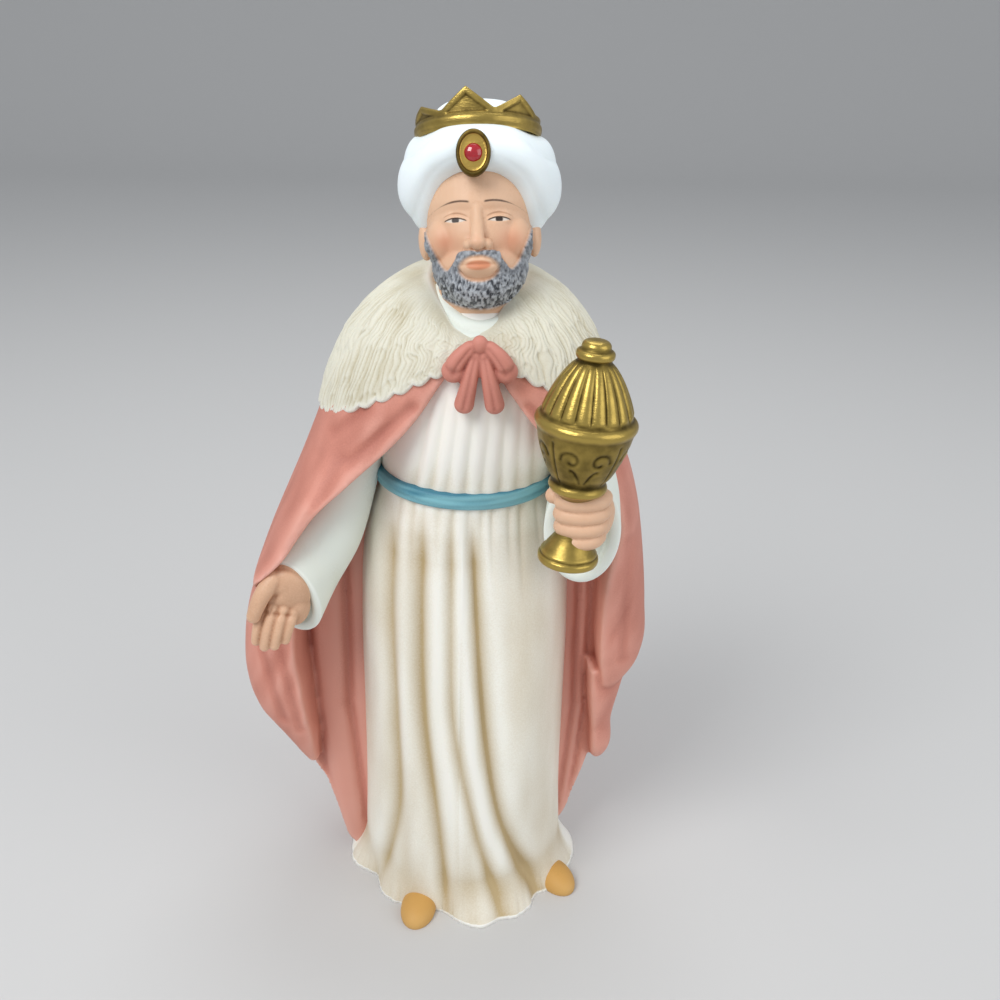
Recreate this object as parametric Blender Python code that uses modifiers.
"""Nativity wise man: a painted bisque porcelain figurine, slip cast as one hollow piece.

The figure stands on the flat underside of its gown, faces -Y, and has its origin at the
centre of the underside. Each part of the casting is modelled as a closed form in
millimetres, and the forms are then fused into one skin, as they are in the mould.
"""

import math

import bmesh
import bpy
import numpy as np
from mathutils import Matrix, Vector

MM = 0.001

# Driving sizes in millimetres
HEAD_X = 4.0
WAIST_Z = 139.5
GOWN_TOP = 188.0
GOWN_LEAN = 4.2
HEM_FLARE = 13.0
SINK = 3.0

# Fineness of the fused skin
FUSE_VOXEL = 0.5
SMOOTH_PASSES = 3
SKIN_TRIANGLES = 9400

# Colour of the fired, unpainted body
BISQUE = (0.80, 0.77, 0.70, 1.0)
BISQUE_ROUGHNESS = 0.6


def clear_scene():
    for obj in list(bpy.data.objects):
        bpy.data.objects.remove(obj, do_unlink=True)


def new_collection(name):
    collection = bpy.data.collections.new(name)
    bpy.context.scene.collection.children.link(collection)
    return collection


def eased(rows, at):
    """Values of a table at the keys asked for, on smooth curves through its rows."""
    rows = np.array(rows, float)
    key = rows[:, 0]
    value = rows[:, 1:]
    slope = np.gradient(value, key, axis=0)
    at = np.clip(np.atleast_1d(np.asarray(at, float)), key[0], key[-1])
    low = np.clip(np.searchsorted(key, at) - 1, 0, len(key) - 2)
    step = (key[low + 1] - key[low])[:, None]
    t = (at - key[low])[:, None] / step
    rise = t * t * (3 - 2 * t)
    near = t * (1 - t) ** 2 * step * slope[low]
    far = t * t * (t - 1) * step * slope[low + 1]
    return value[low] * (1 - rise) + value[low + 1] * rise + near + far


def skin_mesh(name, rings):
    """A closed mesh through rings of points, capped at both ends."""
    rings = np.asarray(rings, float) * MM
    rows, count = rings.shape[:2]
    shape = bmesh.new()
    grid = [[shape.verts.new(point) for point in ring] for ring in rings]
    for row in range(rows - 1):
        for i in range(count):
            j = (i + 1) % count
            shape.faces.new((grid[row][i], grid[row][j], grid[row + 1][j], grid[row + 1][i]))
    shape.faces.new(grid[0][::-1])
    shape.faces.new(grid[-1])
    bmesh.ops.recalc_face_normals(shape, faces=shape.faces)
    mesh = bpy.data.meshes.new(name)
    shape.to_mesh(mesh)
    shape.free()
    return mesh


def taken(obj):
    """The mesh that an object's modifiers or curve make, with the object removed."""
    bpy.context.scene.collection.objects.link(obj)
    graph = bpy.context.evaluated_depsgraph_get()
    mesh = bpy.data.meshes.new_from_object(obj.evaluated_get(graph))
    mesh.transform(obj.matrix_world)
    bpy.data.objects.remove(obj, do_unlink=True)
    shape = bmesh.new()
    shape.from_mesh(mesh)
    bmesh.ops.remove_doubles(shape, verts=shape.verts, dist=1e-6)
    shape.to_mesh(mesh)
    shape.free()
    return mesh


def ball(name, centre, radii, turn=(0, 0, 0)):
    """An egg: a sphere with three radii, turned in degrees about X, Y and Z."""
    shape = bmesh.new()
    bmesh.ops.create_uvsphere(shape, u_segments=28, v_segments=18, radius=1.0)
    mesh = bpy.data.meshes.new(name)
    shape.to_mesh(mesh)
    shape.free()
    turned = Matrix.Identity(4)
    for angle, axis in zip(turn, "XYZ"):
        turned = Matrix.Rotation(math.radians(angle), 4, axis) @ turned
    place = Matrix.Translation(Vector(centre) * MM)
    mesh.transform(place @ turned @ Matrix.Diagonal((*(Vector(radii) * MM), 1)))
    return mesh


def limb(name, path, thick, thin, samples=14):
    """A round-ended tube that tapers along a smooth path, from a thick to a thin radius."""
    path = np.array(path, float)
    run = np.r_[0, np.cumsum(np.linalg.norm(np.diff(path, axis=0), axis=1))]
    along = run[-1] * (1 - np.cos(np.linspace(0, math.pi, samples))) / 2
    points = eased(np.column_stack([run, path]), along)
    radius = np.interp(along, [0, run[-1]], [thick, thin])
    from_end = np.minimum(along, run[-1] - along)
    rounded = np.clip(from_end / radius, 0.0, 1.0)
    radius = radius * np.clip(np.sqrt(1 - (1 - rounded) ** 2), 0.12, 1.0)
    curve = bpy.data.curves.new(name, "CURVE")
    curve.dimensions = "3D"
    curve.bevel_depth = MM
    curve.bevel_resolution = 4
    curve.use_fill_caps = True
    spline = curve.splines.new("POLY")
    spline.points.add(samples - 1)
    for point, place, wide in zip(spline.points, points, radius):
        point.co = (*(place * MM), 1.0)
        point.radius = wide
    mesh = taken(bpy.data.objects.new(name, curve))
    bpy.data.curves.remove(curve)
    return mesh


def turned_on_axis(name, profile, foot, lean, steps=48):
    """A turned form from (radius, height) points, standing at foot and leaning in degrees."""
    shape = bmesh.new()
    points = [shape.verts.new((r * MM, 0, z * MM)) for r, z in reversed(profile)]
    for first, second in zip(points, points[1:]):
        shape.edges.new((first, second))
    mesh = bpy.data.meshes.new(name)
    shape.to_mesh(mesh)
    shape.free()
    obj = bpy.data.objects.new(name, mesh)
    screw = obj.modifiers.new("Turn", "SCREW")
    screw.steps = steps
    screw.render_steps = steps
    screw.use_merge_vertices = True
    screw.merge_threshold = 0.00001
    obj.rotation_euler = (0, math.radians(lean), 0)
    obj.location = Vector(foot) * MM
    obj.matrix_world = Matrix.Translation(obj.location) @ Matrix.Rotation(math.radians(lean), 4, "Y")
    return taken(obj)


def around(count):
    return np.linspace(0, 2 * math.pi, count, endpoint=False)


def valley(offset, width):
    """Depth share of a fold's valley: one at its line, falling off within a width."""
    return np.exp(-np.abs(offset / width) ** 1.6)


# Gown: a column of soft folds that flares to a lobed hem
# Rows: height, half width, centre X, front reach, back reach
GOWN_ROWS = (
    (-SINK, 31.6, 0.0, 28.8, 28.0),
    (14.0, 31.4, 0.0, 28.8, 28.0),
    (30.0, 30.8, 0.0, 29.0, 27.0),
    (60.0, 30.6, 0.2, 29.2, 26.5),
    (96.0, 30.4, 0.4, 29.2, 26.5),
    (118.0, 29.2, 0.6, 28.6, 26.0),
    (130.0, 27.0, 0.6, 27.4, 25.0),
    (138.0, 24.6, 0.9, 26.0, 24.0),
    (142.0, 24.6, 1.2, 26.0, 24.0),
    (152.0, 26.0, 2.0, 27.0, 25.0),
    (163.0, 26.5, 2.8, 26.6, 24.5),
    (174.0, 22.5, 3.6, 24.6, 22.0),
    (182.0, 16.0, GOWN_LEAN, 21.5, 17.0),
    (GOWN_TOP, 11.5, GOWN_LEAN, 15.0, 12.0),
)
# Rows: angle in degrees from +X, reach of the hem on the ground
HEM_OUTLINE = (
    (90.0, 31.0),
    (135.0, 34.0),
    (180.0, 37.4),
    (192.0, 36.6),
    (206.0, 30.8),
    (220.0, 32.6),
    (229.0, 32.6),
    (245.0, 29.6),
    (261.0, 29.4),
    (272.0, 33.4),
    (281.0, 35.6),
    (292.0, 34.0),
    (302.0, 35.4),
    (309.0, 34.6),
    (318.0, 31.8),
    (328.0, 34.2),
    (342.0, 35.4),
    (360.0, 37.2),
    (405.0, 34.0),
    (450.0, 31.0),
)
# Valleys of the gown's front: X at the belt, thigh, knee, shin and hem, then depth and width
FOLD_HEIGHTS = (136.0, 105.0, 70.0, 35.0, 0.0)
GOWN_FOLDS = (
    ((-19.5, -21.0, -20.2, -19.8, -27.0), 2.2, 2.6),
    ((-11.0, -12.0, -11.2, -7.2, -4.0), 2.8, 2.8),
    ((-3.2, -3.0, -2.0, 4.2, 12.5), 1.8, 2.0),
    ((2.6, 4.4, 7.2, 12.6, 24.5), 3.4, 2.6),
)
GATHER_COUNT = 15
GATHER_DEPTH = 0.7
GATHER_REACH = 15.0
KNEE = (17.5, 68.0)
KNEE_SIZE = (7.5, 34.0)
KNEE_RISE = 2.6


def gown_rings(heights, count):
    angle = around(count)
    rings = []
    for height in heights:
        half, centre, front, back = eased(GOWN_ROWS, height)[0]
        reach = np.where(np.sin(angle) < 0, front, back)
        x = half * np.cos(angle)
        y = reach * np.sin(angle)
        out = np.column_stack([x / half**2, y / reach**2])
        out /= np.linalg.norm(out, axis=1)[:, None]
        facing = np.clip(-np.sin(angle) * 2.5, 0, 1)
        push = np.zeros(count)
        for lines, depth, width in GOWN_FOLDS:
            line = eased(list(zip(FOLD_HEIGHTS[::-1], lines[::-1])), height)[0, 0]
            grown = np.clip((137.0 - height) / 16.0, 0.0, 1.0)
            push -= depth * grown * valley(x - line, width)
        knee = ((x - KNEE[0]) / KNEE_SIZE[0]) ** 2 + ((height - KNEE[1]) / KNEE_SIZE[1]) ** 2
        push += KNEE_RISE * np.exp(-knee)
        near_belt = math.exp(-(((height - WAIST_Z) / GATHER_REACH) ** 2))
        push -= GATHER_DEPTH * near_belt * (1 + np.cos(GATHER_COUNT * angle * 2)) / 2
        push *= facing
        flat = np.column_stack([centre + x, y]) + out * push[:, None]
        if height < HEM_FLARE:
            share = (1 - max(height, 0.0) / HEM_FLARE) ** 1.7
            degrees = np.degrees(angle)
            degrees = np.where(degrees < 90.0, degrees + 360.0, degrees)
            hem = eased(HEM_OUTLINE, degrees)[:, 0]
            flared = np.column_stack([hem * np.cos(angle), hem * np.sin(angle)])
            flat = flat * (1 - share) + flared * share
        rings.append(np.column_stack([flat, np.full(count, height)]))
    return rings


def gown():
    low = np.linspace(-SINK, HEM_FLARE + 3.0, 16)
    high = np.linspace(HEM_FLARE + 6.0, GOWN_TOP, 56)
    return skin_mesh("gown", gown_rings(np.r_[low, high], 160))


BELT_HEIGHT = 4.4
BELT_PROUD = 1.1


def belt():
    """A sash that lies round the waist."""
    count = 96
    angle = around(count)
    half, centre, front, back = eased(GOWN_ROWS, WAIST_Z)[0]
    rings = []
    for share in (-1.0, -0.9, -0.55, 0.0, 0.55, 0.9, 1.0):
        proud = BELT_PROUD * math.sqrt(1 - share * share * 0.98)
        reach = np.where(np.sin(angle) < 0, front, back) + proud
        x = centre - 0.6 + (half + proud) * np.cos(angle)
        y = reach * np.sin(angle)
        z = WAIST_Z + share * BELT_HEIGHT / 2 - 0.03 * x
        rings.append(np.column_stack([x, y, z]))
    return skin_mesh("belt", rings)


def shoe(name, toe, turn):
    """The rounded toe of a slipper that shows under the hem."""
    x, y = toe
    return ball(name, (x, y, 1.0), (5.4, 8.4, 4.7), (0, 0, turn))


# Cloak: a mantle behind the figure, its front panels and its hanging folds
# Rows: height, left X, right X, front Y, back Y
MANTLE_ROWS = (
    (1.6, -35.4, 29.0, -1.0, 29.5),
    (5.0, -37.8, 31.6, -1.6, 31.5),
    (10.0, -39.2, 33.6, -2.4, 33.0),
    (20.0, -41.6, 35.6, -3.0, 34.6),
    (28.0, -44.0, 37.4, -3.0, 35.4),
    (38.0, -48.6, 39.4, -3.0, 36.4),
    (52.0, -52.4, 41.2, -3.0, 37.5),
    (70.0, -54.0, 42.0, -3.0, 38.0),
    (95.0, -55.0, 46.5, -3.0, 38.0),
    (115.0, -53.0, 49.0, -4.0, 37.0),
    (135.0, -47.5, 47.0, -6.0, 35.0),
    (150.0, -41.5, 43.0, -9.0, 32.5),
    (162.0, -37.0, 39.5, -11.0, 29.5),
    (174.0, -31.0, 34.5, -12.0, 26.0),
    (184.0, -20.0, 26.0, -6.0, 21.5),
    (190.0, -12.0, 19.0, -1.0, 17.0),
)
# Left front of the cloak: from the bow over the right forearm, then hanging below the wrist
LEFT_FRONT_ROWS = (
    (39.0, -49.8, -45.4, -5.0, 5.0),
    (43.0, -52.4, -45.2, -7.0, 9.0),
    (50.0, -57.0, -45.0, -10.0, 12.0),
    (60.0, -63.6, -45.6, -13.0, 15.0),
    (70.0, -66.0, -46.2, -15.0, 16.5),
    (84.0, -65.8, -47.2, -16.0, 17.0),
    (98.0, -63.0, -46.6, -17.0, 16.0),
    (108.0, -59.4, -46.4, -19.0, 14.5),
    (112.0, -58.2, -52.6, -25.0, 13.5),
    (116.0, -56.8, -52.4, -30.0, 13.0),
    (120.0, -55.4, -48.6, -32.0, 12.5),
    (124.0, -53.8, -44.8, -32.4, 12.0),
    (129.0, -51.6, -41.4, -32.0, 12.0),
    (136.0, -48.4, -36.2, -31.0, 11.0),
    (144.0, -44.8, -28.0, -30.0, 11.0),
    (152.0, -41.4, -18.8, -28.0, 10.0),
    (162.0, -37.2, -9.8, -28.0, 10.0),
    (172.0, -32.0, -3.0, -26.6, 9.0),
    (178.0, -27.0, 2.0, -24.4, 8.0),
)
# Right front of the cloak: from the bow, outside the left sleeve, to a turned lower edge
RIGHT_FRONT_ROWS = (
    (69.5, 41.5, 46.0, -8.0, 8.0),
    (73.0, 40.6, 49.0, -11.0, 12.0),
    (77.0, 40.2, 52.0, -12.5, 14.5),
    (84.0, 39.4, 54.2, -14.5, 16.5),
    (98.0, 39.0, 53.8, -16.0, 17.0),
    (112.0, 39.4, 52.4, -18.0, 16.0),
    (122.0, 40.4, 51.0, -20.0, 15.0),
    (132.0, 41.0, 49.2, -22.0, 14.0),
    (142.0, 36.4, 46.4, -24.0, 13.0),
    (150.0, 27.6, 43.2, -25.4, 12.0),
    (158.0, 19.8, 41.0, -26.6, 11.0),
    (165.0, 14.2, 38.2, -27.0, 10.0),
    (172.0, 9.4, 34.0, -26.6, 9.0),
    (178.0, 6.0, 29.0, -24.6, 8.0),
)
# Second layer below the right front
RIGHT_UNDER_ROWS = (
    (41.0, 40.6, 44.4, -3.0, 8.0),
    (43.5, 40.0, 45.8, -5.0, 10.0),
    (56.0, 39.0, 46.4, -8.0, 15.0),
    (66.0, 38.0, 48.2, -10.0, 17.0),
    (78.0, 37.4, 50.6, -11.0, 18.0),
)
CLOAK_EDGE = 1.7
CLOAK_TUCK = 6.0
MANTLE_LIFT = 10.5
MANTLE_LIFT_TOP = 45.0
MANTLE_FOLDS_LEFT = ((-47.5, 2.2, 2.0), (-35.2, 1.8, 1.8))
MANTLE_FOLDS_RIGHT = ((34.5, 1.6, 1.4), (38.0, 1.8, 1.4))
BACK_FOLDS = 9
BACK_FOLD_DEPTH = 1.6


def front_rings(rows, heights, count, edge_side):
    """Rings of a cloak front: a thin rounded edge on one side, a wide curve to the other."""
    angle = around(count)
    rings = []
    for height in heights:
        left, right, front, back = eased(rows, height)[0]
        width = right - left
        edge = min(CLOAK_EDGE, width / 2)
        centre = right - edge if edge_side > 0 else left + edge
        tucked = edge + CLOAK_TUCK * np.clip(np.sin(angle), 0, 1)
        wide = np.where(np.cos(angle) * edge_side > 0, tucked, width - edge)
        x = centre + wide * np.cos(angle)
        middle = min(back - 2.0, 0.0)
        deep = np.where(np.sin(angle) < 0, middle - front, back - middle)
        y = middle + deep * np.sin(angle)
        rings.append(np.column_stack([x, y, np.full(count, height)]))
    return rings


def cloak_front(name, rows, edge_side, levels=60, count=72):
    heights = np.linspace(rows[0][0], rows[-1][0], levels)
    return skin_mesh(name, front_rings(rows, heights, count, edge_side))


def mantle():
    """The cloak behind the gown: a flat lining with folds in front, a round back behind."""
    count = 200
    heights = np.linspace(MANTLE_ROWS[0][0], MANTLE_ROWS[-1][0], 60)
    angle = around(count)
    deep = np.sin(angle)
    rings = []
    for height in heights:
        left, right, front, back = eased(MANTLE_ROWS, height)[0]
        centre = (left + right) / 2
        half = (right - left) / 2
        across = np.sign(np.cos(angle)) * np.abs(np.cos(angle)) ** 0.7
        x = centre + half * across
        y = np.where(deep < 0, front * np.abs(deep) ** 0.35, back * np.abs(deep) ** 0.9)
        shut = np.clip((height - 2.0) / 12.0, 0, 1) * np.clip((170.0 - height) / 30.0, 0, 1)
        for line, depth, width in MANTLE_FOLDS_LEFT + MANTLE_FOLDS_RIGHT:
            drift = np.interp(height, [0, 60, 130], [0.86, 1.0, 0.98])
            y = np.where(deep < -0.05, y + depth * shut * valley(x - line * drift, width), y)
        waves = np.cos(BACK_FOLDS * angle * 2 + 0.5 * np.sin(height / 26.0))
        hollow = BACK_FOLD_DEPTH * shut * (1 - waves) / 2 * np.clip(deep * 3, 0, 1)
        middle = np.array([centre, 0.0])
        inward = middle - np.column_stack([x, y])
        inward /= np.linalg.norm(inward, axis=1)[:, None] + 1e-6
        flat = np.column_stack([x, y]) + inward * hollow[:, None]
        share = np.clip((x - left) / (right - left), 0, 1)
        lift = MANTLE_LIFT * share**1.5 * np.clip(1 - height / MANTLE_LIFT_TOP, 0, 1)
        rings.append(np.column_stack([flat, height + lift]))
    return skin_mesh("mantle", rings)


def cloak():
    return [
        mantle(),
        cloak_front("left_front", LEFT_FRONT_ROWS, 1),
        cloak_front("right_front", RIGHT_FRONT_ROWS, -1),
        cloak_front("right_under", RIGHT_UNDER_ROWS, -1),
    ]


# Sleeves: wide tubes that end in a turned-in cuff
CUFF_LIP = 3.0
CUFF_DEPTH = 1.2


def sleeve(name, stations):
    """A tube through (centre, direction, half width, half height) with a hollow mouth."""
    count = 40
    angle = around(count)
    rings = []
    for centre, direction, wide, high in stations:
        along = Vector(direction).normalized()
        side = along.cross(Vector((0, 0, 1))).normalized()
        over = side.cross(along)
        ring = [
            Vector(centre) + side * wide * math.cos(a) + over * high * math.sin(a)
            for a in angle
        ]
        rings.append([tuple(point) for point in ring])
    return skin_mesh(name, rings)


def sleeve_with_mouth(name, stations):
    centre, direction, wide, high = stations[-1]
    along = Vector(direction).normalized()
    lip = Vector(centre) + along * CUFF_LIP / 3
    inner = Vector(centre) - along * CUFF_DEPTH
    shaped = list(stations)
    shaped.append((lip, direction, wide - CUFF_LIP / 2, high - CUFF_LIP / 2))
    shaped.append((centre, direction, wide - CUFF_LIP, high - CUFF_LIP))
    shaped.append((inner, direction, wide - 1.3 * CUFF_LIP, high - 1.3 * CUFF_LIP))
    return sleeve(name, shaped)


RIGHT_SLEEVE = (
    ((-25.8, -5.0, 152.0), (-0.5, -0.35, -0.8), 6.0, 5.0),
    ((-30.2, -10.0, 139.0), (-0.5, -0.45, -0.75), 7.2, 7.4),
    ((-35.6, -14.6, 126.0), (-0.48, -0.6, -0.65), 8.4, 9.4),
    ((-42.6, -18.6, 115.4), (-0.42, -0.78, -0.45), 8.8, 11.4),
    ((-46.2, -23.8, 109.8), (-0.34, -0.9, -0.28), 9.2, 13.4),
)
LEFT_SLEEVE = (
    ((32.0, 4.0, 151.0), (-0.1, -0.9, -0.3), 6.6, 6.6),
    ((33.0, -8.0, 145.0), (-0.1, -0.92, -0.3), 8.0, 10.6),
    ((32.6, -20.0, 138.6), (-0.1, -0.95, -0.2), 9.4, 14.0),
    ((31.8, -30.0, 133.8), (-0.08, -0.98, -0.1), 10.0, 16.0),
)


# Open right hand, palm to the front
FINGER_RADIUS = 1.65
RIGHT_FINGERS = (
    ((-52.2, -28.4, 111.0), (-54.2, -31.4, 103.6), (-55.2, -31.4, 98.2)),
    ((-49.4, -29.2, 111.0), (-51.5, -32.6, 103.0), (-52.8, -32.6, 97.2)),
    ((-46.6, -29.4, 110.5), (-48.7, -32.6, 103.0), (-50.1, -32.6, 97.6)),
    ((-44.0, -28.8, 109.5), (-46.0, -31.6, 103.6), (-47.3, -31.8, 99.0)),
)
RIGHT_THUMB = ((-47.6, -28.2, 119.6), (-52.4, -31.8, 113.4), (-55.4, -33.0, 106.2))


def right_hand():
    forms = [
        ball("palm", (-47.4, -27.8, 112.0), (7.3, 3.5, 8.8), (14, 10, 0)),
        ball("heel", (-46.8, -26.4, 114.2), (6.2, 3.9, 7.4), (14, 12, 0)),
        ball("palm_edge", (-44.2, -27.2, 108.2), (3.7, 3.4, 6.2), (10, 12, 0)),
        limb("wrist", ((-43.6, -16.0, 114.6), (-46.4, -25.0, 111.6)), 5.0, 5.0),
        limb("thumb", RIGHT_THUMB, 2.9, 1.8),
    ]
    for path in RIGHT_FINGERS:
        forms.append(limb("finger", path, FINGER_RADIUS, FINGER_RADIUS * 0.82))
    return forms


# Left fist round the goblet's stem
FIST_TOP = 150.6
FIST_STEP = 3.4
FIST_FINGER_RADIUS = 2.15


def left_hand():
    forms = [
        ball("fist", (32.6, -42.4, 144.2), (5.8, 5.4, 7.6), (0, 8, 0)),
        limb("wrist", ((34.8, -22.0, 137.6), (33.8, -40.0, 143.4)), 5.6, 5.2),
        limb("thumb", ((31.0, -38.0, 147.0), (24.6, -41.6, 149.4), (22.6, -46.6, 150.6)), 2.4, 2.0),
    ]
    for i in range(4):
        z = FIST_TOP - i * FIST_STEP
        shorter = (0.0, 0.0, 0.3, 1.0)[i]
        path = (
            (26.0, -45.0, z - 0.4),
            (25.2 + shorter, -48.4, z - 0.2),
            (28.6, -50.4, z),
            (33.6 - shorter, -49.4, z + 0.2),
            (36.0 - shorter, -45.0, z + 0.4),
        )
        forms.append(limb("knuckle", path, FIST_FINGER_RADIUS, FIST_FINGER_RADIUS, 18))
    return forms


# Goblet with a fluted cover: radius and height along its leaning axis
GOBLET_FOOT = (27.0, -48.0, 134.4)
GOBLET_LEAN = 4.6
BOWL_RADIUS = 11.6
GOBLET_PROFILE = (
    (0.0, 0.0),
    (6.6, 0.0),
    (7.3, 0.7),
    (7.3, 1.9),
    (6.6, 3.4),
    (5.2, 5.2),
    (3.8, 7.4),
    (3.2, 10.0),
    (3.2, 16.0),
    (5.6, 18.6),
    (6.8, 19.6),
    (6.9, 20.7),
    (6.5, 21.5),
    (7.8, 24.0),
    (9.5, 27.8),
    (10.7, 31.4),
    (BOWL_RADIUS - 0.3, 34.4),
    (BOWL_RADIUS + 0.3, 35.6),
    (BOWL_RADIUS + 0.3, 37.0),
    (BOWL_RADIUS - 1.0, 38.2),
    (9.6, 40.8),
    (8.1, 44.2),
    (6.2, 47.6),
    (4.4, 50.1),
    (3.9, 50.8),
    (4.3, 51.5),
    (4.4, 52.5),
    (3.8, 53.3),
    (3.2, 54.2),
    (2.9, 54.9),
    (1.8, 55.4),
    (0.0, 55.5),
)
LID_SPAN = (38.2, 50.5)
FLUTES = 18
FLUTE_RADIUS = 0.95


def goblet():
    forms = [turned_on_axis("goblet", GOBLET_PROFILE, GOBLET_FOOT, GOBLET_LEAN)]
    lean = Matrix.Rotation(math.radians(GOBLET_LEAN), 4, "Y")
    ridge = [(r - 0.25, z) for r, z in GOBLET_PROFILE if LID_SPAN[0] <= z <= LID_SPAN[1]]
    for i in range(FLUTES):
        spin = Matrix.Rotation(2 * math.pi * i / FLUTES, 4, "Z")
        path = [
            Vector(GOBLET_FOOT) + (lean @ spin @ Vector((r, 0.0, z))) for r, z in ridge
        ]
        forms.append(limb("flute", path, FLUTE_RADIUS * 1.25, FLUTE_RADIUS * 0.55, 10))
    return forms


# Fur cape: from the neck opening to a scalloped edge on the shoulders
# Rows: angle in degrees from +X, reach and height of the lower edge, reach and height of the top
CAPE_CENTRE = (2.4, 0.0)
CAPE_ROWS = (
    (-90.0, 26.8, 177.6, 21.6, 182.4),
    (-77.0, 27.8, 176.6, 20.4, 184.2),
    (-67.0, 30.0, 174.4, 18.0, 187.0),
    (-53.0, 32.8, 170.2, 15.8, 190.4),
    (-28.0, 36.6, 165.0, 14.2, 193.4),
    (0.0, 38.8, 162.2, 13.2, 195.2),
    (22.0, 39.6, 161.2, 12.8, 196.0),
    (45.0, 38.4, 160.0, 12.2, 196.8),
    (90.0, 32.8, 158.0, 12.0, 197.6),
    (120.0, 37.2, 157.6, 11.6, 197.4),
    (135.0, 40.4, 157.4, 11.4, 197.2),
    (150.0, 42.4, 157.4, 11.2, 196.8),
    (165.0, 42.8, 157.8, 10.9, 196.4),
    (180.0, 42.4, 158.6, 10.6, 195.8),
    (195.0, 41.2, 158.6, 11.4, 194.6),
    (208.0, 39.4, 160.6, 12.8, 194.0),
    (228.0, 35.2, 166.2, 14.4, 191.0),
    (248.0, 30.2, 172.2, 17.4, 187.0),
    (258.0, 28.4, 174.6, 20.2, 184.2),
    (270.0, 26.8, 177.6, 21.6, 182.4),
)
CAPE_RISE = 0.18
CAPE_BULGE = 0.78
CAPE_THICK = 3.0
LOCKS = 46
LOCK_DEPTH = 0.9


def fur_cape():
    count = 184
    degrees = np.linspace(-90.0, 270.0, count, endpoint=False)
    angle = np.radians(degrees)
    reach, low, top_reach, top = eased(CAPE_ROWS, degrees).T
    lock = np.abs(np.sin(LOCKS / 2 * angle))
    front = np.exp(-(((degrees + 90.0 + 180.0) % 360.0 - 180.0) / 16.0) ** 2)
    rings = []

    def ring(radius, height):
        x = CAPE_CENTRE[0] + radius * np.cos(angle)
        y = CAPE_CENTRE[1] + radius * np.sin(angle) * 0.98
        rings.append(np.column_stack([x, y, height]))

    ring(top_reach - 3.5, top - 4.0)
    ring(top_reach - 1.2, top - 0.6)
    for t in np.linspace(0.0, 1.0, 18):
        bulge_reach = top_reach + (reach - top_reach) * CAPE_BULGE
        bulge_top = top - (top - low) * CAPE_RISE
        radius = (1 - t) ** 2 * top_reach + 2 * t * (1 - t) * bulge_reach + t * t * reach
        height = (1 - t) ** 2 * top + 2 * t * (1 - t) * bulge_top + t * t * low
        groove = LOCK_DEPTH * min(1.0, 3 * t) * (1 - lock) * (1 - 0.6 * front)
        ring(radius - groove, height + 1.6 * t**6 * (1 - lock))
    ring(reach - CAPE_THICK * 0.4, low - 0.7 + 1.2 * (1 - lock))
    ring(reach - CAPE_THICK, low + 0.4)
    ring(reach - 3 * CAPE_THICK, low + 5.0)
    return skin_mesh("fur_cape", rings)


# Bow at the cape's fastening
def bow():
    forms = [ball("knot", (4.9, -28.2, 182.4), (1.9, 1.6, 2.2))]
    for side in (-1, 1):
        loop = (
            (4.9 + side * 1.0, -27.8, 182.6),
            (4.9 + side * 4.6, -28.8, 179.6),
            (4.9 + side * 7.2, -28.6, 175.8),
        )
        forms.append(limb("loop", loop, 1.6, 2.5))
        forms.append(ball("loop_end", (4.9 + side * 6.4, -28.2, 175.6), (3.0, 2.0, 3.0)))
        tail = (
            (4.9 + side * 0.8, -28.0, 181.0),
            (4.9 + side * 2.5, -29.2, 173.0),
            (4.9 + side * 4.3, -28.6, 165.0),
        )
        forms.append(limb("tail", tail, 1.3, 2.7))
    return forms


# Head: skull, jaw under a short full beard, and plain classical features
HEAD_CENTRE = (HEAD_X, -3.8, 206.5)
HEAD_TILT = 13.0
HEAD_ROLL = -3.0
HEAD_SIZE = 1.12


def in_head(point):
    """A point in the head's own frame, before its size and tilt, placed in the figure."""
    roll = Matrix.Rotation(math.radians(HEAD_ROLL), 3, "Y")
    tilt = roll @ Matrix.Rotation(math.radians(-HEAD_TILT), 3, "X")
    return tuple(tilt @ (Vector(point) * HEAD_SIZE) + Vector(HEAD_CENTRE))


def head_egg(name, centre, radii, tilt=0.0):
    size = [radius * HEAD_SIZE for radius in radii]
    return ball(name, in_head(centre), size, (tilt - HEAD_TILT, HEAD_ROLL, 0))


def head():
    bridge = [in_head(point) for point in ((0, -13.4, 3.4), (0, -15.6, -1.0), (0, -17.6, -4.4))]
    forms = [
        head_egg("skull", (0, 0.8, 4.2), (12.7, 15.2, 15.6)),
        head_egg("face", (0, -2.6, -2.0), (11.6, 12.4, 13.6)),
        head_egg("jaw", (0, -4.4, -9.0), (10.6, 11.4, 9.2)),
        head_egg("beard", (0, -8.4, -11.6), (8.2, 8.0, 6.6)),
        head_egg("moustache", (0, -15.0, -8.0), (4.8, 2.6, 3.4)),
        head_egg("nose_tip", (0, -17.5, -4.5), (1.9, 1.8, 1.6)),
        limb("nose", bridge, 1.5, 1.9),
        limb("neck", ((HEAD_X, -5.6, 176.0), (HEAD_X, -5.0, 200.0)), 11.8, 10.6),
    ]
    for side in (-1, 1):
        forms.append(head_egg("cheek", (side * 7.2, -8.2, -3.4), (4.4, 4.6, 4.8)))
        forms.append(head_egg("brow", (side * 4.4, -11.2, 4.0), (4.6, 3.4, 1.8)))
        forms.append(head_egg("ear", (side * 12.2, -0.6, -3.2), (1.7, 2.8, 4.4), 8))
    return forms


# Drop below the neck and spread of each roll
COLLAR_ROLLS = ((0.0, 1.0), (2.4, 1.17), (5.0, 1.33), (7.4, 1.46))


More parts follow.
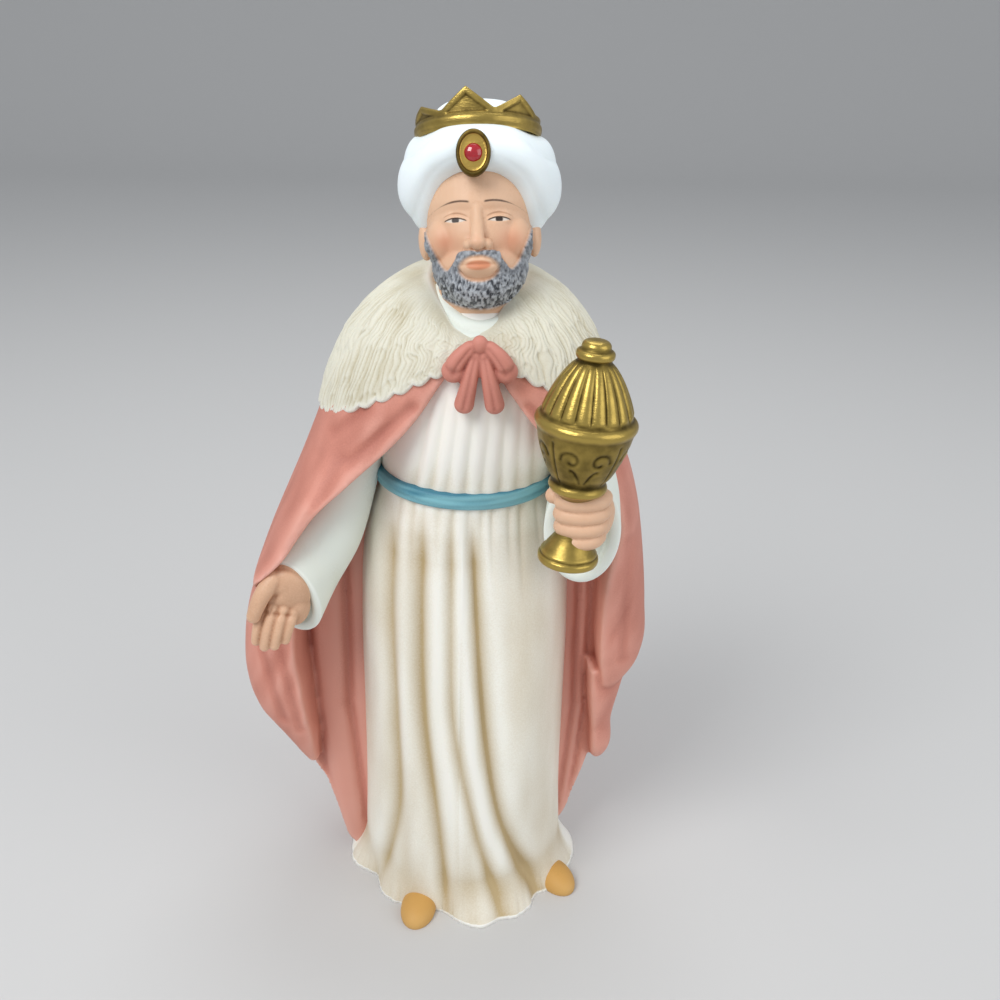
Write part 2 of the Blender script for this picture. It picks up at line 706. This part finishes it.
def collar():
    """The round neck of the gown, in soft rolls."""
    forms = []
    for drop, wide in COLLAR_ROLLS:
        ring = []
        for i in range(9):
            a = math.radians(180 + 22.5 * i)
            ring.append((
                HEAD_X + 0.6 + 10.4 * wide * math.cos(a),
                -4.6 + 13.4 * wide * math.sin(a),
                191.4 - drop - 8.0 * abs(math.sin(a)),
            ))
        forms.append(limb("collar_roll", ring, 2.2, 2.2, 24))
    return forms


# Turban, crown and forehead jewel
TURBAN_X = 3.9
TURBAN_REACH = 12.6
TURBAN_DEPTH = 1.06
TURBAN_TAPER = 4.2
# Rows: degrees from the brow, height of the roll's lower and upper edge, thickness
TURBAN_ROWS = (
    (-40.0, 215.0, 231.2, 7.0),
    (0.0, 219.4, 232.4, 5.8),
    (22.0, 218.6, 232.0, 6.2),
    (38.0, 214.8, 231.2, 7.0),
    (50.0, 208.6, 230.4, 7.6),
    (62.0, 204.2, 229.6, 7.8),
    (90.0, 202.4, 228.4, 7.8),
    (180.0, 201.0, 224.0, 7.8),
    (220.0, 201.4, 224.6, 7.8),
)
CAP_CENTRE = (3.6, 0.8, 221.4)
CAP_RADIUS = 13.7
CAP_RISE = 14.6
CAP_TILT = 8.0
CROWN_CENTRE = (3.4, 0.4, 227.4)
CROWN_RADIUS = 15.2
CROWN_TILT = 18.0
CROWN_ROLL = 2.2
# Degrees from the brow towards +X, rise of the point above the band
CROWN_POINTS = ((-60.0, 2.1), (-9.0, 4.7), (42.0, 3.4), (138.0, 2.4), (-174.0, 3.4), (-122.0, 2.4))
POINT_HALF_WIDTH = 24.0
CROWN_BAND = 3.1
CROWN_WALL = 1.8


def turban():
    """A thick roll of cloth, high on the brow and low at the nape, over a domed cap."""
    rings = []
    for a in around(72):
        from_brow = abs(math.degrees(math.atan2(math.cos(a), -math.sin(a))))
        low, high, thick = eased(TURBAN_ROWS, from_brow)[0]
        lean = 0.34 * max(0.0, math.cos(math.radians(from_brow))) + 0.1
        spot = []
        for b in around(28):
            rise = (high - low) / 2 * math.copysign(abs(math.sin(b)) ** 0.85, math.sin(b))
            across = thick * math.copysign(abs(math.cos(b)) ** 0.85, math.cos(b))
            share = 2 * rise / (high - low)
            reach = TURBAN_REACH + across
            reach -= lean * max(rise, 0.0) * share + TURBAN_TAPER * min(share, 0.0) ** 2
            spot.append((
                TURBAN_X + reach * math.cos(a),
                reach * math.sin(a) * TURBAN_DEPTH,
                (low + high) / 2 + rise,
            ))
        rings.append(spot)
    return [closed_ring_mesh("turban_roll", rings), cap()]


def cap():
    """The turban's flat-topped dome, which fills the crown."""
    tilt = Matrix.Rotation(math.radians(-CAP_TILT), 3, "X")
    rings = []
    for t in np.linspace(0.0, math.pi / 2, 14)[:-1]:
        reach = CAP_RADIUS * math.cos(t) ** 0.56
        high = CAP_RISE * math.sin(t) ** 0.85
        rings.append([
            tuple(Vector(CAP_CENTRE) + tilt @ Vector((reach * math.cos(a), reach * math.sin(a), high)))
            for a in around(48)
        ])
    return skin_mesh("turban_cap", rings)


def closed_ring_mesh(name, rings):
    """A ring-shaped mesh: each section joins the next, and the last joins the first."""
    rings = np.asarray(rings, float) * MM
    rows, count = rings.shape[:2]
    shape = bmesh.new()
    grid = [[shape.verts.new(point) for point in ring] for ring in rings]
    for row in range(rows):
        after = (row + 1) % rows
        for i in range(count):
            j = (i + 1) % count
            shape.faces.new((grid[row][i], grid[after][i], grid[after][j], grid[row][j]))
    bmesh.ops.recalc_face_normals(shape, faces=shape.faces)
    mesh = bpy.data.meshes.new(name)
    shape.to_mesh(mesh)
    shape.free()
    return mesh


def crown():
    """An open ring whose upper edge rises to points and leans outward."""
    count = 216
    tilt = math.radians(CROWN_TILT)
    roll = math.radians(CROWN_ROLL)
    rings = []
    for a in around(count):
        degrees = math.degrees(math.atan2(math.cos(a), -math.sin(a)))
        top = CROWN_BAND
        for at, high in CROWN_POINTS:
            off = abs((degrees - at + 180.0) % 360.0 - 180.0) / POINT_HALF_WIDTH
            top = max(top, CROWN_BAND + high * (1 - off))
        section = (
            (CROWN_RADIUS - CROWN_WALL, -1.0),
            (CROWN_RADIUS + 0.5, -0.6),
            (CROWN_RADIUS + 0.7, 1.0),
            (CROWN_RADIUS + 0.2, 2.2),
            (CROWN_RADIUS + 0.4 + 0.10 * top, top - 0.3),
            (CROWN_RADIUS - 0.3 + 0.10 * top, top),
            (CROWN_RADIUS - CROWN_WALL + 0.08 * top, top - 0.5),
            (CROWN_RADIUS - CROWN_WALL, 2.2),
        )
        spot = []
        for reach, high in section:
            x = reach * math.cos(a)
            y = reach * math.sin(a)
            spot.append((
                CROWN_CENTRE[0] + x - high * roll,
                CROWN_CENTRE[1] + y * math.cos(tilt) + high * math.sin(tilt),
                CROWN_CENTRE[2] - y * math.sin(tilt) + high * math.cos(tilt) + x * roll,
            ))
        rings.append(spot)
    return closed_ring_mesh("crown", rings)


def jewel():
    return [
        ball("jewel_setting", (2.8, -17.8, 225.3), (4.1, 3.4, 5.5), (-16, 0, 0)),
        ball("jewel_stone", (2.8, -20.4, 225.6), (2.2, 1.2, 2.2), (-16, 0, 0)),
    ]


def all_forms():
    """Every form of the figure, from the hem up."""
    forms = [gown(), belt(), fur_cape(), crown()]
    forms.append(shoe("left_shoe", (-12.8, -27.6), -6))
    forms.append(shoe("right_shoe", (30.2, -13.6), 32))
    forms.append(sleeve_with_mouth("right_sleeve", RIGHT_SLEEVE))
    forms.append(sleeve_with_mouth("left_sleeve", LEFT_SLEEVE))
    for group in (cloak, right_hand, left_hand, goblet, bow, head, collar, turban, jewel):
        forms.extend(group())
    return forms


def joined(name, forms):
    """One mesh that holds all the forms."""
    shape = bmesh.new()
    for mesh in forms:
        shape.from_mesh(mesh)
        bpy.data.meshes.remove(mesh)
    mesh = bpy.data.meshes.new(name)
    shape.to_mesh(mesh)
    shape.free()
    return mesh


def fused(obj):
    """The forms as one smooth skin."""
    remesh = obj.modifiers.new("Fuse", "REMESH")
    remesh.mode = "VOXEL"
    remesh.voxel_size = FUSE_VOXEL * MM
    remesh.adaptivity = 0.0
    smooth = obj.modifiers.new("Smooth", "SMOOTH")
    smooth.factor = 0.5
    smooth.iterations = SMOOTH_PASSES
    graph = bpy.context.evaluated_depsgraph_get()
    mesh = bpy.data.meshes.new_from_object(obj.evaluated_get(graph))
    obj.modifiers.clear()
    return mesh


def largest_shell(mesh):
    """The mesh without stray shells."""
    shape = bmesh.new()
    shape.from_mesh(mesh)
    left = set(shape.verts)
    shells = []
    while left:
        front = [left.pop()]
        shell = list(front)
        while front:
            vert = front.pop()
            for edge in vert.link_edges:
                other = edge.other_vert(vert)
                if other in left:
                    left.remove(other)
                    front.append(other)
                    shell.append(other)
        shells.append(shell)
    shells.sort(key=len)
    for shell in shells[:-1]:
        bmesh.ops.delete(shape, geom=shell, context="VERTS")
    shape.to_mesh(mesh)
    shape.free()
    return mesh


def floor_cutter(collection):
    """A block below the ground that cuts the underside flat."""
    shape = bmesh.new()
    bmesh.ops.create_cube(shape, size=1.0)
    mesh = bpy.data.meshes.new("ground_block")
    shape.to_mesh(mesh)
    shape.free()
    mesh.transform(Matrix.Translation((0, 0, -0.010)) @ Matrix.Diagonal((0.3, 0.3, 0.020, 1)))
    block = bpy.data.objects.new("ground_block", mesh)
    block.hide_render = True
    block.display_type = "WIRE"
    collection.objects.link(block)
    return block


def bisque_material():
    material = bpy.data.materials.new("bisque_porcelain")
    material.use_nodes = True
    shader = material.node_tree.nodes["Principled BSDF"]
    shader.inputs["Base Color"].default_value = BISQUE
    shader.inputs["Roughness"].default_value = BISQUE_ROUGHNESS
    shader.inputs["Metallic"].default_value = 0.0
    return material


def main():
    clear_scene()
    figure = new_collection("nativity_wise_man")
    cutters = new_collection("cutters")
    cutters.hide_render = True
    obj = bpy.data.objects.new("wise_man", joined("forms", all_forms()))
    figure.objects.link(obj)
    obj.data = largest_shell(fused(obj))
    obj.data.name = "wise_man"
    decimate = obj.modifiers.new("Facets", "DECIMATE")
    decimate.ratio = SKIN_TRIANGLES / (2 * len(obj.data.polygons))
    decimate.use_collapse_triangulate = True
    cut = obj.modifiers.new("Underside", "BOOLEAN")
    cut.operation = "DIFFERENCE"
    cut.object = floor_cutter(cutters)
    obj.data.materials.append(bisque_material())
    obj.data.shade_smooth()


main()
